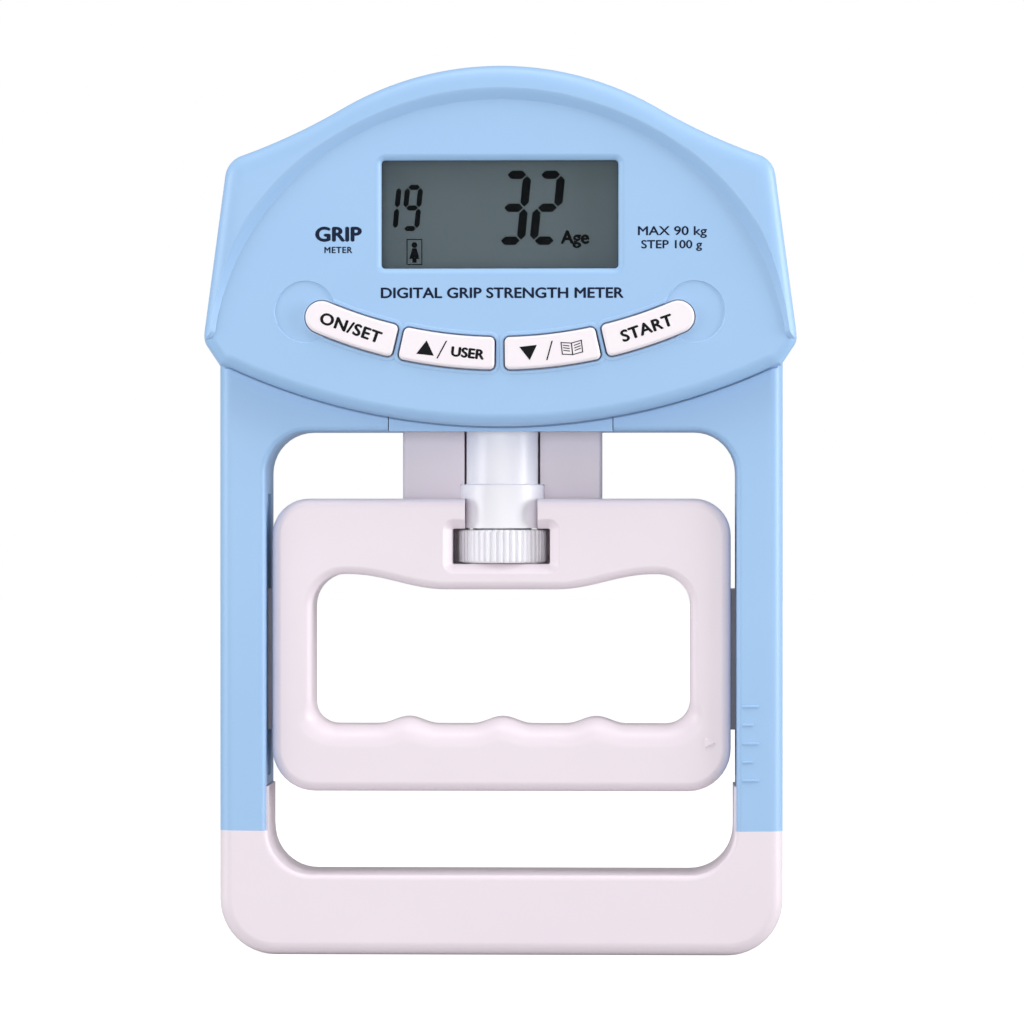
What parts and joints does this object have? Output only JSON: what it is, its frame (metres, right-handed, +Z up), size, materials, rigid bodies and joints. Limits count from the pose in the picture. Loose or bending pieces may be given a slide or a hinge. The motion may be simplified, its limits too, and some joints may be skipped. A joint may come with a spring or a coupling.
{
  "type": "hand dynamometer",
  "caption": "Digital grip-strength meter: a flat upright frame with a display head, four push buttons, a fixed palm handle and a sliding finger grip set by a knurled wheel.",
  "frame": {"origin": "middle of the base, under the centre of the bounding box", "axes": "+Z up, the display and buttons face -Y, +X to the right when looking at the display"},
  "size_m": [0.128, 0.031, 0.192],
  "materials": {
    "blue_abs": "satin moulded",
    "white_abs": "satin moulded",
    "pale_nylon": "moulded nylon",
    "key_plastic": "satin moulded",
    "grey_acetal": "moulded",
    "black_epoxy": "moulded",
    "holder_plastic": "moulded",
    "clear_acrylic": "polished",
    "lcd_glass": "satin",
    "board_laminate": "solder mask",
    "silicone": "moulded",
    "steel": "zinc plated",
    "beam_aluminium": "milled",
    "brass": "turned",
    "gauge_foil": "polyimide foil",
    "cell_jacket": "printed film",
    "lead_pvc": "extruded"
  },
  "bodies": {
    "frame": {"head_front_cover": "blue_abs", "frame_front_shell": "blue_abs", "frame_rear_shell": "blue_abs", "lower_handle_front": "white_abs", "lower_handle_rear": "white_abs", "battery_upper": "cell_jacket", "battery_lower": "cell_jacket", "battery_springs": "steel", "battery_contacts": "steel", "battery_leads": "lead_pvc", "display_window": "clear_acrylic", "lcd_panel": "lcd_glass", "lcd_holder": "holder_plastic", "lcd_connector_strip": "silicone", "circuit_board": "board_laminate", "controller_chip": "black_epoxy", "converter_chip": "black_epoxy", "crystal": "steel", "switch_housings": "black_epoxy", "load_cell_beam": "beam_aluminium", "strain_gauges": "gauge_foil", "gauge_ribbon": "lead_pvc", "beam_screws": "steel", "board_screws": "steel", "case_screws": "steel", "handle_screws": "steel"},
    "door": {"battery_door": "blue_abs"},
    "set_key": {"set_button": "key_plastic", "set_plunger": "holder_plastic"},
    "up_key": {"up_button": "key_plastic", "up_plunger": "holder_plastic"},
    "down_key": {"down_button": "key_plastic", "down_plunger": "holder_plastic"},
    "start_key": {"start_button": "key_plastic", "start_plunger": "holder_plastic"},
    "pull_link": {"pull_screw": "steel", "pull_nut": "steel", "pull_washer": "steel"},
    "grip": {"grip_front_shell": "white_abs", "grip_rear_shell": "white_abs", "column_sleeve": "pale_nylon", "guide_rail_left": "grey_acetal", "guide_rail_right": "grey_acetal", "grip_screws": "steel", "thrust_washer": "steel"},
    "wheel": {"adjusting_wheel": "pale_nylon", "wheel_bush": "brass"}
  },
  "joints": [
    {"name": "squeeze", "type": "slide", "parent": "frame", "child": "pull_link", "axis": [0, 0, -1], "range_m": [0, 0.0006], "stiffness_N_per_m": 8000, "deforming": ["load_cell_beam"]},
    {"name": "span_adjust", "type": "slide", "parent": "pull_link", "child": "grip", "axis": [0, 0, 1], "range_m": [-0.008, 0.008]},
    {"name": "wheel_spin", "type": "hinge", "parent": "grip", "child": "wheel", "pos_m": [0, 0.00375, 0.0886], "axis": [0, 0, 1], "range_deg": [-1440, 1440]},
    {"name": "set_press", "type": "slide", "parent": "frame", "child": "set_key", "axis": [0, 1, 0], "range_m": [0, 0.0005], "stiffness_N_per_m": 300},
    {"name": "up_press", "type": "slide", "parent": "frame", "child": "up_key", "axis": [0, 1, 0], "range_m": [0, 0.0005], "stiffness_N_per_m": 300},
    {"name": "down_press", "type": "slide", "parent": "frame", "child": "down_key", "axis": [0, 1, 0], "range_m": [0, 0.0005], "stiffness_N_per_m": 300},
    {"name": "start_press", "type": "slide", "parent": "frame", "child": "start_key", "axis": [0, 1, 0], "range_m": [0, 0.0005], "stiffness_N_per_m": 300},
    {"name": "door_lift", "type": "slide", "parent": "frame", "child": "door", "axis": [0, 1, 0], "range_m": [0, 0.03]}
  ],
  "couplings": [
    {"joint": "wheel_spin", "follows": "span_adjust", "rad_per_m": 3141.6}
  ]
}
